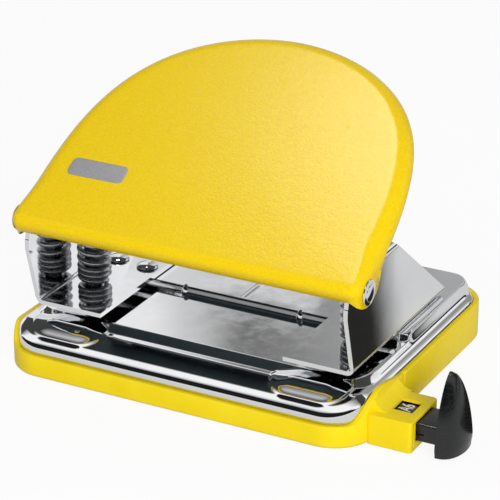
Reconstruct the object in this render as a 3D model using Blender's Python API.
"""Two-hole desk punch: plastic chip tray, pressed steel base, two riveted brackets, a D-shaped lever
on pivot rivets, two sprung punch pins with their dies, and a sliding paper guide.

Lengths in this file are millimetres, turned into metres by MM as each mesh is made. +X is to the
user's right with the paper side towards -Y, +Z is up, and z = 0 is the underside of the tray.
"""

from math import asin, cos, pi, radians, sin

import bmesh
import bpy
from mathutils import Vector

MM = 0.001
GAP = 0.3  # left between pieces that touch on the real object

# Standard two-hole layout
HOLE_SPACING = 80.0
PIN_X = HOLE_SPACING / 2
PIN_Y = -15.1
STEP_Y = -4.0  # the paper stops here, 11 mm in front of the hole centres

# Chip tray
TRAY_X = 53.8
TRAY_Y = 44.0
TRAY_RADIUS = 12.0
TRAY_WALL = 1.2
TRAY_FLOOR = 1.4
LEDGE_WIDTH = 2.0
LEDGE_Z = 5.9
LIP_FRONT_Z = 6.2
LIP_SIDE_Z = 10.9
LIP_RISE = (-40.0, -33.5)  # the lip climbs from its front height to its side height between these y
LIP_SWELL = 2.3  # extra height of the right lip beside the guide housing
LIP_SWELL_Y = (-37.0, -29.0, -14.5)

# Paper guide and its housing on the tray's right wall
HOUSING_X = 65.4
HOUSING_Y = (-36.2, -19.6)
HOUSING_Z = 8.6
RULE_Y = (-33.2, -22.8)
RULE_Z = (2.5, 7.5)
RULE_X = (-38.0, 71.6)
WINDOW_X = (57.3, 63.1)
WINDOW_Y = (-30.6, -23.9)
STOP_X = 71.9
STOP_DEPTH = 5.9
STOP_HALF_WIDTH = 8.4
STOP_Y = -28.2
STOP_Z = (0.6, 21.4)

# Pressed base plate
SHEET = 1.0
BASE_X = TRAY_X - TRAY_WALL - GAP
BASE_Y = TRAY_Y - TRAY_WALL - GAP
BASE_RADIUS = TRAY_RADIUS - TRAY_WALL - GAP
SKIRT_Z = LEDGE_Z + GAP
BORDER_Z = 12.4
BORDER_SLOPE = ((-45.0, 8.58), (-34.4, 12.4))  # the front border falls towards the user
TABLE_Z = 14.0
DECK_Z = 16.0
DECK_X = 50.0
DECK_REAR_Y = 39.6
TABLE_FRONT_Y = -33.0
TABLE_SLOPE = 3.0
LOBE_X = (25.5, 47.6)
LOBE_FRONT_Y = -41.0
LOBE_SLOPE = 3.8
NUB_X = 17.7

# Brackets
PLATE = 1.2
BRACKET_X = 47.7
FOOT_INNER_X = 27.4
FOOT_Z = DECK_Z + GAP
FOOT_TOP_Z = FOOT_Z + PLATE
FOOT_FRONT_Y = -33.1
FOOT_REAR_Y = 24.1
SHOULDER_Y = -37.4
GUIDE_TOP_Z = 44.6
GUIDE_Y = (-24.0, -9.5)
GUIDE_INNER_X = 34.0
BEND = 2.2
RIVET_SPOTS = ((31.8, -0.5), (41.6, 0.3))
RIVET_HOLE = 2.0

# Lever
PIVOT = (-33.5, 41.0)  # y, z of the axis that the lever turns on
LEVER_TILT = radians(29.5)
LEVER_HALF_WIDTH = 51.4
LEVER_LENGTH = 78.6
LEVER_FRONT = -4.85  # front edge, measured along the lever from its axis
LEVER_TOP = 5.13  # top face, measured square to the lever from its axis
LEVER_RIM = 0.3  # free edge of the front flange, measured the same way
EAR_EDGE = (  # distance round the edge from the start of a front corner, free edge measured the same way
    (0.0, LEVER_RIM),
    (1.5, -1.6),
    (3.0, -3.0),
    (5.6, -4.1),
    (9.4, -4.6),
    (11.9, -3.7),
    (15.1, -1.5),
    (17.6, -0.6),
    (20.2, 0.2),
    (40.0, 1.2),
)
LEVER_SHEET = 1.2
LEVER_EDGE = 4.6  # radius of the rounded edge along the sides and the back
LEVER_FRONT_EDGE = 2.6
LEVER_CORNER = 3.0
PIVOT_HOLE = 1.9
PIVOT_SHANK = 1.6
PIVOT_WASHER = 2.7
PRESS_BAR_X = 45.0
PRESS_BAR_RUN = (15.2, 24.0)
PRESS_BAR_RISE = (0.63, 3.6)

# Punch pins, springs, clips and dies
PIN_RADIUS = 2.75
PIN_CLEARANCE = 0.1
PIN_TIP_Z = 16.7
PIN_DOME_Z = 48.57
CLIP_RADIUS = 4.9
CLIP_Z = (41.0, 42.3)
SPRING_RADIUS = 4.0
SPRING_WIRE = 0.75  # radius of the wire
SPRING_Z = (FOOT_TOP_Z + GAP, 40.7)
SPRING_TURNS = 9.5
SPRING_CLOSED = (2.5, 0.8)  # turns that lie against each other at the foot and at the top
DIE_RADIUS = 4.5
DIE_Z = (10.8, 14.0)

COLOURS = {
    "yellow_paint": ((0.90, 0.68, 0.01), 0.3, 0.0),
    "yellow_plastic": ((0.90, 0.70, 0.01), 0.35, 0.0),
    "chrome": ((0.80, 0.81, 0.83), 0.08, 1.0),
    "steel": ((0.55, 0.55, 0.57), 0.3, 1.0),
    "spring_steel": ((0.32, 0.32, 0.34), 0.3, 1.0),
    "black_plastic": ((0.015, 0.015, 0.017), 0.45, 0.0),
    "nylon": ((0.75, 0.75, 0.72), 0.5, 0.0),
}


def clear_scene():
    for obj in list(bpy.data.objects):
        bpy.data.objects.remove(obj, do_unlink=True)


def material(name, finish):
    colour, roughness, metallic = COLOURS[finish]
    made = bpy.data.materials.new(name)
    made.use_nodes = True
    shader = made.node_tree.nodes["Principled BSDF"]
    shader.inputs["Base Color"].default_value = (*colour, 1.0)
    shader.inputs["Roughness"].default_value = roughness
    shader.inputs["Metallic"].default_value = metallic
    made.diffuse_color = (*colour, 1.0)
    return made


def mesh_object(name, points, faces, finish=None):
    """A closed mesh from points in millimetres. With no finish it is a helper that is left out of renders."""
    mesh = bpy.data.meshes.new(name)
    mesh.from_pydata([Vector(point) * MM for point in points], [], faces)
    tidy = bmesh.new()
    tidy.from_mesh(mesh)
    bmesh.ops.recalc_face_normals(tidy, faces=tidy.faces)
    tidy.to_mesh(mesh)
    tidy.free()
    obj = bpy.data.objects.new(name, mesh)
    bpy.context.scene.collection.objects.link(obj)
    if finish:
        mesh.materials.append(material(name, finish))
        mesh.shade_smooth()
        mesh.set_sharp_from_angle(angle=radians(32))
    else:
        obj.hide_render = True
        obj.display_type = "WIRE"
    return obj


def loft(name, rings, finish=None):
    """A closed solid through rings of points, each with the same number of points, capped at both ends."""
    count = len(rings[0])
    points = [point for ring in rings for point in ring]
    faces = [list(range(count))]
    for level in range(len(rings) - 1):
        for step in range(count):
            after = (step + 1) % count
            low = level * count
            faces.append([low + step, low + after, low + count + after, low + count + step])
    last = (len(rings) - 1) * count
    faces.append(list(range(last, last + count)))
    return mesh_object(name, points, faces, finish)


def prism(name, outline, low, high, place, finish=None):
    """An outline swept from low to high. place(u, v, w) turns outline and height into x, y, z."""
    rings = [[place(u, v, height) for u, v in outline] for height in (low, high)]
    return loft(name, rings, finish)


def upright(u, v, w):
    return (u, v, w)


def across(u, v, w):
    """Outline in the Y-Z plane, swept along X."""
    return (w, u, v)


def box(name, x, y, z, finish=None):
    outline = [(x[0], y[0]), (x[1], y[0]), (x[1], y[1]), (x[0], y[1])]
    return prism(name, outline, z[0], z[1], upright, finish)


def arc(centre, radius, start, end, steps):
    """Points on a circle from one angle to another, in degrees."""
    angles = [radians(start + (end - start) * step / steps) for step in range(steps + 1)]
    return [(centre[0] + radius * cos(a), centre[1] + radius * sin(a)) for a in angles]


def round_rectangle(x, y, radius, steps=8):
    """Outline of a rectangle from x[0], y[0] to x[1], y[1] with round corners, anticlockwise."""
    corners = (
        (x[1] - radius, y[0] + radius, -90),
        (x[1] - radius, y[1] - radius, 0),
        (x[0] + radius, y[1] - radius, 90),
        (x[0] + radius, y[0] + radius, 180),
    )
    outline = []
    for centre_x, centre_y, start in corners:
        outline += arc((centre_x, centre_y), radius, start, start + 90, steps)
    return outline


def centred_rectangle(half_x, half_y, radius, inset=0.0, steps=8):
    half_x, half_y, radius = half_x - inset, half_y - inset, radius - inset
    return round_rectangle((-half_x, half_x), (-half_y, half_y), radius, steps)


def turned(name, profile, centre, direction="Z", steps=32, finish=None):
    """A solid turned round an axis. The profile runs (radius, height) and starts and ends on the axis."""
    rings = []
    for radius, height in profile[1:-1]:
        ring = []
        for step in range(steps):
            angle = 2 * pi * step / steps
            across_u, across_v = radius * cos(angle), radius * sin(angle)
            offset = (across_u, across_v, height) if direction == "Z" else (height, across_u, across_v)
            ring.append(tuple(c + o for c, o in zip(centre, offset)))
        rings.append(ring)
    return loft(name, rings, finish)


def cylinder(name, radius, centre, low, high, direction="Z", steps=32, finish=None):
    profile = [(0, low), (radius, low), (radius, high), (0, high)]
    return turned(name, profile, centre, direction, steps, finish)


def washer(name, inner, outer, centre, low, high, direction="Z", steps=32, finish=None):
    """A plain ring, as one loop of four turned edges."""
    edges = [(outer, low), (outer, high), (inner, high), (inner, low)]
    points = []
    for radius, height in edges:
        for step in range(steps):
            angle = 2 * pi * step / steps
            u, v = radius * cos(angle), radius * sin(angle)
            offset = (u, v, height) if direction == "Z" else (height, u, v)
            points.append(tuple(c + o for c, o in zip(centre, offset)))
    faces = []
    for edge in range(4):
        for step in range(steps):
            after = (step + 1) % steps
            here, there = edge * steps, (edge + 1) % 4 * steps
            faces.append([here + step, here + after, there + after, there + step])
    return mesh_object(name, points, faces, finish)


def combine(target, operation, *others):
    for other in others:
        modifier = target.modifiers.new(f"{operation.lower()}_{other.name}", "BOOLEAN")
        modifier.operation = operation
        modifier.object = other
        modifier.solver = "EXACT"
    return target


def smooth_step(value, low, high):
    share = min(max((value - low) / (high - low), 0.0), 1.0)
    return share * share * (3 - 2 * share)


def lip_height(x, y):
    height = LIP_FRONT_Z + (LIP_SIDE_Z - LIP_FRONT_Z) * smooth_step(y, *LIP_RISE)
    if x > 0:
        front, crest, rear = LIP_SWELL_Y
        height += LIP_SWELL * smooth_step(y, front, crest) * (1 - smooth_step(y, crest, rear))
    return height


def chip_tray():
    def ring(inset, height):
        outline = centred_rectangle(TRAY_X, TRAY_Y, TRAY_RADIUS, inset)
        # Extra points along the right wall carry the swell in its lip.
        corner = max(index for index, (x, y) in enumerate(outline) if x > 0 and y < 0)
        low, high = outline[corner], outline[corner + 1]
        extra = [(low[0], low[1] + (high[1] - low[1]) * share / 20) for share in (1, 2, 3, 4, 5, 6, 7, 8)]
        outline = outline[: corner + 1] + extra + outline[corner + 1 :]
        return [(x, y, lip_height(x, y) if height is None else height) for x, y in outline]

    ledge = TRAY_WALL + LEDGE_WIDTH
    tray = loft(
        "chip_tray",
        [
            ring(0.8, 0.0),
            ring(0.0, 0.8),
            ring(0.0, None),
            ring(TRAY_WALL, None),
            ring(TRAY_WALL, LEDGE_Z),
            ring(ledge, LEDGE_Z),
            ring(ledge, TRAY_FLOOR),
        ],
        "yellow_plastic",
    )
    housing = round_rectangle((TRAY_X - 1.0, HOUSING_X), HOUSING_Y, 1.0, 3)
    ramp = [(TRAY_X - 1.1, 8.0), (57.5, 8.0), (57.0, HOUSING_Z), (TRAY_X, 10.8), (TRAY_X - 1.1, 10.8)]
    slot = ((45.0, HOUSING_X + 5), (RULE_Y[0] - GAP, RULE_Y[1] + GAP), (RULE_Z[0] - GAP, RULE_Z[1] + GAP))
    combine(
        tray,
        "UNION",
        prism("housing_block", housing, 0.0, HOUSING_Z, upright),
        prism("housing_ramp", ramp, -33.0, HOUSING_Y[1] + 1.0, lambda u, v, w: (u, w, v)),
        box("rail_front", (-44.0, 51.0), (RULE_Y[0] - 1.5, RULE_Y[0] - GAP), (TRAY_FLOOR - 0.4, 5.6)),
        box("rail_rear", (-44.0, 51.0), (RULE_Y[1] + GAP, RULE_Y[1] + 1.5), (TRAY_FLOOR - 0.4, 5.6)),
    )
    combine(
        tray,
        "DIFFERENCE",
        box("rule_slot", *slot),
        box("housing_window", WINDOW_X, WINDOW_Y, (RULE_Z[1] - 0.5, HOUSING_Z + 3)),
    )


def lobe(side, inset, low, high, slope):
    """The table's forward extension under one bracket, where the paper is fed in."""
    x = sorted((side * (LOBE_X[0] + inset), side * (LOBE_X[1] - inset)))
    foot = round_rectangle((x[0], x[1]), (LOBE_FRONT_Y + inset, -25.0), 7.0 - inset, 5)
    top = round_rectangle((x[0] + slope, x[1] - slope), (LOBE_FRONT_Y + inset + slope, -25.0), 5.0 - inset, 5)
    rings = [[(u, v, low) for u, v in foot], [(u, v, high) for u, v in top]]
    return loft(f"lobe_{'right' if side > 0 else 'left'}_{inset:.0f}", rings)


def base_body(name, inset, finish=None):
    """Border, table and deck as one stepped block. An inset of one sheet gives the hollow underneath."""
    skirt = SKIRT_Z - 2 * inset
    border = BORDER_Z - inset

    def ring(extra, height):
        outline = centred_rectangle(BASE_X, BASE_Y, BASE_RADIUS, inset + extra)
        return [(x, y, height) for x, y in outline]

    body = loft(
        name,
        [ring(0.0, skirt), ring(0.0, border - 1.6), ring(0.45, border - 0.5), ring(1.4, border)],
        finish,
    )
    (front_y, front_z), (rear_y, rear_z) = BORDER_SLOPE
    wedge = [(front_y, front_z - inset), (rear_y, rear_z - inset), (rear_y, 15.0), (front_y, 15.0)]
    combine(body, "DIFFERENCE", prism(f"border_slope_{inset:.0f}", wedge, -60.0, 60.0, across))
    table = []
    for spread, height in ((0.0, border - 1.5), (0.0, border - 0.6), (TABLE_SLOPE, TABLE_Z - inset)):
        x = (-DECK_X + inset + spread / 2, DECK_X - inset - spread / 2)
        y = (TABLE_FRONT_Y + inset + spread, DECK_REAR_Y - inset - spread / 2)
        table.append([(u, v, height) for u, v in round_rectangle(x, y, 7.0 - inset, 6)])
    deck = []
    for spread, height in ((0.0, border - 1.0), (0.0, DECK_Z - inset - 1.6), (1.6, DECK_Z - inset)):
        x = (-DECK_X + inset + 1.0 + spread / 2, DECK_X - inset - 1.0 - spread / 2)
        y = (STEP_Y - 0.5 + inset + spread / 4, DECK_REAR_Y - inset - 0.8 - spread / 2)
        deck.append([(u, v, height) for u, v in round_rectangle(x, y, 3.0 - inset, 6)])
    steps = [loft(f"table_{inset:.0f}", table), loft(f"deck_{inset:.0f}", deck)]
    steps += [lobe(side, inset, 10.2 - inset, TABLE_Z - inset - 0.1, LOBE_SLOPE) for side in (-1, 1)]
    return combine(body, "UNION", *steps)


def base_plate():
    base = base_body("base_plate", 0.0, "chrome")
    nub = [(0, 14.4), (1.7, 14.4), (1.7, 16.2), (1.2, 16.9), (0.5, 17.2), (0, 17.2)]
    for side in (-1, 1):
        spot = (side * NUB_X, STEP_Y + 0.4, 0)
        combine(base, "UNION", turned(f"paper_stop_{side + 1}", nub, spot, "Z", 16))
    hollow = base_body("base_hollow", SHEET)
    combine(base, "DIFFERENCE", hollow)
    notch = ((BASE_X - 4, BASE_X + 4), (RULE_Y[0] - 1.0, RULE_Y[1] + 1.0), (0.0, RULE_Z[1] + 1.0))
    cutters = [box("rule_notch", *notch)]
    for side in (-1, 1):
        spot = (side * PIN_X, PIN_Y, 0)
        cutters.append(cylinder(f"die_hole_{side + 1}", DIE_RADIUS + GAP, spot, 8.0, 20.0))
        for index, (x, y) in enumerate(RIVET_SPOTS):
            cutters.append(cylinder(f"deck_hole_{side + 1}_{index}", RIVET_HOLE, (side * x, y, 0), 8.0, 20.0))
    combine(base, "DIFFERENCE", *cutters)


def bracket_side_outline():
    """The bracket seen from the side: foot, slanted front, shoulder, pivot eye, guide and sloping back."""
    y, z = PIVOT
    eye = arc(PIVOT, 3.3, 212, 75, 9)
    return [
        (FOOT_FRONT_Y, FOOT_Z - 0.1),
        (FOOT_FRONT_Y, FOOT_Z + 1.4),
        (SHOULDER_Y, 33.9),
        (SHOULDER_Y, z - 3.1),
        *eye,
        (GUIDE_Y[0] - 4.0, z + 3.1),
        (GUIDE_Y[0], GUIDE_TOP_Z + 0.1),
        (GUIDE_Y[1], GUIDE_TOP_Z + 0.1),
        (FOOT_REAR_Y, FOOT_Z + 2.0),
        (FOOT_REAR_Y, FOOT_Z - 0.1),
    ]


def bracket_section():
    """Foot, side plate and pin guide as one bent strip, seen from the front."""
    outer = BRACKET_X
    inner = BRACKET_X - PLATE
    guide_low = GUIDE_TOP_Z - PLATE
    bend = BEND - PLATE
    return [
        (FOOT_INNER_X, FOOT_Z),
        *arc((outer - BEND, FOOT_Z + BEND), BEND, -90, 0, 5),
        *arc((outer - BEND, GUIDE_TOP_Z - BEND), BEND, 0, 90, 5),
        (GUIDE_INNER_X, GUIDE_TOP_Z),
        (GUIDE_INNER_X, guide_low),
        *arc((inner - bend, guide_low - bend), bend, 90, 0, 3),
        *arc((inner - bend, FOOT_TOP_Z + bend), bend, 0, -90, 3),
        (FOOT_INNER_X, FOOT_TOP_Z),
    ]


def bracket(name, side):
    section = [(side * x, z) for x, z in bracket_section()]
    plate = prism(name, section, -45.0, 30.0, lambda u, v, w: (u, w, v), "chrome")
    reach = sorted((side * (FOOT_INNER_X - 2), side * (BRACKET_X + 2)))
    combine(plate, "INTERSECT", prism(f"{name}_side", bracket_side_outline(), *reach, across))
    clear = sorted((side * 30.0, side * (BRACKET_X - PLATE)))
    cutters = [
        box(f"{name}_guide_front", clear, (-50.0, GUIDE_Y[0]), (30.0, 50.0)),
        cylinder(f"{name}_pin_hole", PIN_RADIUS + PIN_CLEARANCE, (side * PIN_X, PIN_Y, 0), 10, 50),
        cylinder(f"{name}_eye", PIVOT_HOLE, (side * BRACKET_X, *PIVOT), -5, 5, "X", 24),
    ]
    for index, (x, y) in enumerate(RIVET_SPOTS):
        cutters.append(cylinder(f"{name}_rivet_{index}", RIVET_HOLE, (side * x, y, 0), 10, 20, "Z", 24))
    combine(plate, "DIFFERENCE", *cutters)


def bracket_rivet(name, x, y):
    head = FOOT_TOP_Z + GAP / 2
    under = DECK_Z - SHEET - GAP / 2
    profile = [
        (0, under - 1.2),
        (2.1, under - 1.2),
        (2.4, under - 0.9),
        (2.4, under),
        (1.8, under),
        (1.8, head),
        (3.1, head),
        (2.9, head + 0.5),
        (2.0, head + 1.0),
        (0.8, head + 1.15),
        (0, head + 1.15),
    ]
    turned(name, profile, (x, y, 0), "Z", 20, "chrome")


def even_spacing(points, count):
    """The same open line with count points at equal distances along it."""
    line = [Vector(point) for point in points]
    lengths = [0.0]
    for first, second in zip(line, line[1:]):
        lengths.append(lengths[-1] + (second - first).length)
    spaced = []
    index = 0
    for step in range(count):
        target = lengths[-1] * step / (count - 1)
        while index < len(line) - 2 and lengths[index + 1] < target:
            index += 1
        share = (target - lengths[index]) / (lengths[index + 1] - lengths[index])
        spaced.append(tuple(line[index].lerp(line[index + 1], share)))
    return spaced


def lever_half_width(run):
    """Half the lever's width at a distance from its front edge: a rounded D."""
    share = min(max(run / LEVER_LENGTH, 0.0), 1.0)
    return LEVER_HALF_WIDTH * (1 - share**3.53) ** (1 / 1.95)


def lever_outline(per_side=26, near_ear=18, front=12):
    """Plan of the lever as (x, distance from the axis), anticlockwise from the front's middle."""
    corner = arc((LEVER_HALF_WIDTH - LEVER_CORNER, LEVER_FRONT + LEVER_CORNER), LEVER_CORNER, -90, 0, 5)
    fine = []
    for step in range(401):
        angle = pi / 2 * step / 400
        run = LEVER_CORNER + (LEVER_LENGTH - LEVER_CORNER) * sin(angle)
        fine.append((lever_half_width(run), LEVER_FRONT + run))
    ear_end = max(index for index, point in enumerate(fine) if point[1] < 15.0)
    side = even_spacing(fine[: ear_end + 1], near_ear) + even_spacing(fine[ear_end:], per_side)[1:]
    half = [(LEVER_HALF_WIDTH - LEVER_CORNER) * step / front for step in range(front)]
    right = [(x, LEVER_FRONT) for x in half] + corner[:-1] + side
    left = [(-x, run) for x, run in reversed(right[1:-1])]
    return right + left


def inset_outline(outline, distances):
    """The outline moved inwards by its own distance at each point."""
    count = len(outline)
    moved = []
    for index, (x, run) in enumerate(outline):
        distance = distances[index]
        before = outline[index - 1]
        after = outline[(index + 1) % count]
        along = Vector((after[0] - before[0], after[1] - before[1])).normalized()
        moved.append((x - along.y * distance, run + along.x * distance))
    return moved


def lever_rims(outline):
    """Height of the flange's free edge at each point of the outline, with an ear behind each front corner."""
    half = len(outline) // 2
    travelled = 0.0
    rims = [LEVER_RIM]
    for index in range(1, half + 1):
        step = Vector(outline[index]) - Vector(outline[index - 1])
        if outline[index][0] > LEVER_HALF_WIDTH - LEVER_CORNER + 0.01 or travelled > 0:
            travelled += step.length
        rims.append(EAR_EDGE[-1][1])
        for (near, low), (far, high) in zip(EAR_EDGE, EAR_EDGE[1:]):
            if near <= travelled <= far:
                rims[-1] = low + (high - low) * (travelled - near) / (far - near)
                break
    return rims + rims[1:-1][::-1]


def hang_on_pivot(obj):
    """Put an object that was made round the pivot onto it, at the lever's rest angle."""
    obj.location = Vector((0, *PIVOT)) * MM
    obj.rotation_euler = (LEVER_TILT, 0, 0)
    return obj


def lever():
    outline = lever_outline()
    rims = lever_rims(outline)

    grow = (LEVER_FRONT + 3.0, LEVER_FRONT + 16.0)
    wider = LEVER_EDGE - LEVER_FRONT_EDGE
    reach = [LEVER_FRONT_EDGE + wider * smooth_step(run, *grow) for _, run in outline]

    def skin(lift):
        """Rings of one side of the sheet, from its free edge to the flat top."""
        radii = [far - lift for far in reach]
        depths = [LEVER_TOP - lift - rim - 0.1 for rim in rims]
        lows = [asin(max(0.0, 1 - depth / radius)) for depth, radius in zip(depths, radii)]
        rings = []
        for step in range(-1, 5):
            angles = [low + (pi / 2 - low) * max(step, 0) / 4 for low in lows]
            plan = inset_outline(outline, [lift + far * (1 - cos(a)) for far, a in zip(radii, angles)])
            rises = [LEVER_TOP - lift - far * (1 - sin(a)) for far, a in zip(radii, angles)]
            rings.append([(x, run, rise) for (x, run), rise in zip(plan, rims if step < 0 else rises)])
        return rings

    cap = loft("lever", skin(0.0)[::-1] + skin(LEVER_SHEET), "yellow_paint")
    for side in (-1, 1):
        hole = cylinder(f"lever_hole_{side + 1}", PIVOT_HOLE, (side * LEVER_HALF_WIDTH, 0, 0), -4, 4, "X", 24)
        combine(cap, "DIFFERENCE", hang_on_pivot(hole))
    hang_on_pivot(cap)


def press_bar():
    run, rise = PRESS_BAR_RUN, PRESS_BAR_RISE
    outline = [
        (run[0] + 0.8, rise[0]),
        (run[1] - 0.8, rise[0]),
        (run[1], rise[0] + 0.8),
        (run[1], rise[1]),
        (run[0], rise[1]),
        (run[0], rise[0] + 0.8),
    ]
    hang_on_pivot(prism("press_bar", outline, -PRESS_BAR_X, PRESS_BAR_X, across, "steel"))


def pivot_rivet(name, side):
    ear = LEVER_HALF_WIDTH + GAP / 2
    inside = BRACKET_X - PLATE - GAP / 2
    profile = [
        (0, inside - 1.1),
        (2.2, inside - 1.1),
        (2.8, inside - 0.7),
        (2.8, inside),
        (PIVOT_SHANK, inside),
        (PIVOT_SHANK, ear),
        (3.5, ear),
        (3.4, ear + 0.45),
        (2.5, ear + 0.85),
        (1.2, ear + 1.0),
        (0, ear + 1.0),
    ]
    profile = [(radius, side * height) for radius, height in profile]
    turned(name, profile, (0, *PIVOT), "X", 24, "chrome")


def pivot_washer(name, side):
    reach = sorted((side * (BRACKET_X + GAP), side * (LEVER_HALF_WIDTH - LEVER_SHEET - GAP)))
    washer(name, PIVOT_HOLE, PIVOT_WASHER, (0, *PIVOT), *reach, "X", 24, "nylon")


def punch_pin(name, side):
    dome = arc((0, PIN_DOME_Z), PIN_RADIUS, 0, 84, 6)
    profile = [(0, PIN_TIP_Z), (PIN_RADIUS - 0.15, PIN_TIP_Z), (PIN_RADIUS, PIN_TIP_Z + 0.2), *dome, (0, 0)]
    turned(name, profile, (side * PIN_X, PIN_Y, 0), "Z", 32, "steel")


def pin_clip(name, side):
    washer(name, PIN_RADIUS + 0.15, CLIP_RADIUS, (side * PIN_X, PIN_Y, 0), *CLIP_Z, "Z", 28, "steel")


def pin_spring(name, side, per_turn=14, sides=6):
    """A compression spring: the wire's round section carried up a helix, with closed turns at each end."""
    low, high = SPRING_Z[0] + SPRING_WIRE, SPRING_Z[1] - SPRING_WIRE
    steps = round(SPRING_TURNS * per_turn)
    first, last = SPRING_CLOSED[0] * per_turn, steps - SPRING_CLOSED[1] * per_turn
    closed_rise = 2.05 * SPRING_WIRE / per_turn
    open_rise = (high - low - closed_rise * (first + steps - last)) / (last - first)
    rings = []
    for step in range(steps + 1):
        open_steps = min(max(step - first, 0), last - first)
        height = low + closed_rise * (step - open_steps) + open_rise * open_steps
        angle = side * 2 * pi * step / per_turn
        outwards = Vector((cos(angle), sin(angle), 0))
        centre = Vector((side * PIN_X, PIN_Y, height)) + SPRING_RADIUS * outwards
        ring = []
        for corner in range(sides):
            turn = 2 * pi * corner / sides
            ring.append(tuple(centre + SPRING_WIRE * (outwards * cos(turn) + Vector((0, 0, 1)) * sin(turn))))
        rings.append(ring)
    loft(name, rings, "spring_steel")


def die(name, side):
    washer(name, PIN_RADIUS + PIN_CLEARANCE, DIE_RADIUS, (side * PIN_X, PIN_Y, 0), *DIE_Z, "Z", 32, "steel")


def guide_rule():
    outline = round_rectangle(RULE_Y, RULE_Z, 0.5, 2)
    prism("guide_rule", outline, *RULE_X, across, "black_plastic")


def guide_stop():
    """A fin with a flat face towards the paper and a round back, narrowing to a blunt point."""
    rings = []
    levels = 9
    for level in range(levels):
        share = sin(pi / 2 * level / (levels - 1))
        height = STOP_Z[0] + (STOP_Z[1] - STOP_Z[0]) * share
        scale = max((1 - share**1.7) ** 0.62, 0.13)
        half = STOP_HALF_WIDTH * scale
        depth = STOP_DEPTH * (0.25 + 0.75 * scale) if level < levels - 1 else 1.2
        ring = []
        for step in range(13):
            angle = radians(-90 + 180 * step / 12)
            ring.append((STOP_X + depth * cos(angle) ** 0.8, STOP_Y + half * sin(angle), height))
        rings.append(ring)
    loft("guide_stop", rings, "black_plastic")


def build():
    clear_scene()
    chip_tray()
    base_plate()
    for side, hand in ((-1, "left"), (1, "right")):
        bracket(f"bracket_{hand}", side)
        for index, (x, y) in enumerate(RIVET_SPOTS):
            bracket_rivet(f"rivet_{hand}_{('inner', 'outer')[index]}", side * x, y)
        pivot_rivet(f"pivot_rivet_{hand}", side)
        pivot_washer(f"pivot_washer_{hand}", side)
        punch_pin(f"punch_pin_{hand}", side)
        pin_clip(f"pin_clip_{hand}", side)
        pin_spring(f"spring_{hand}", side)
        die(f"die_{hand}", side)
    lever()
    press_bar()
    guide_rule()
    guide_stop()


build()
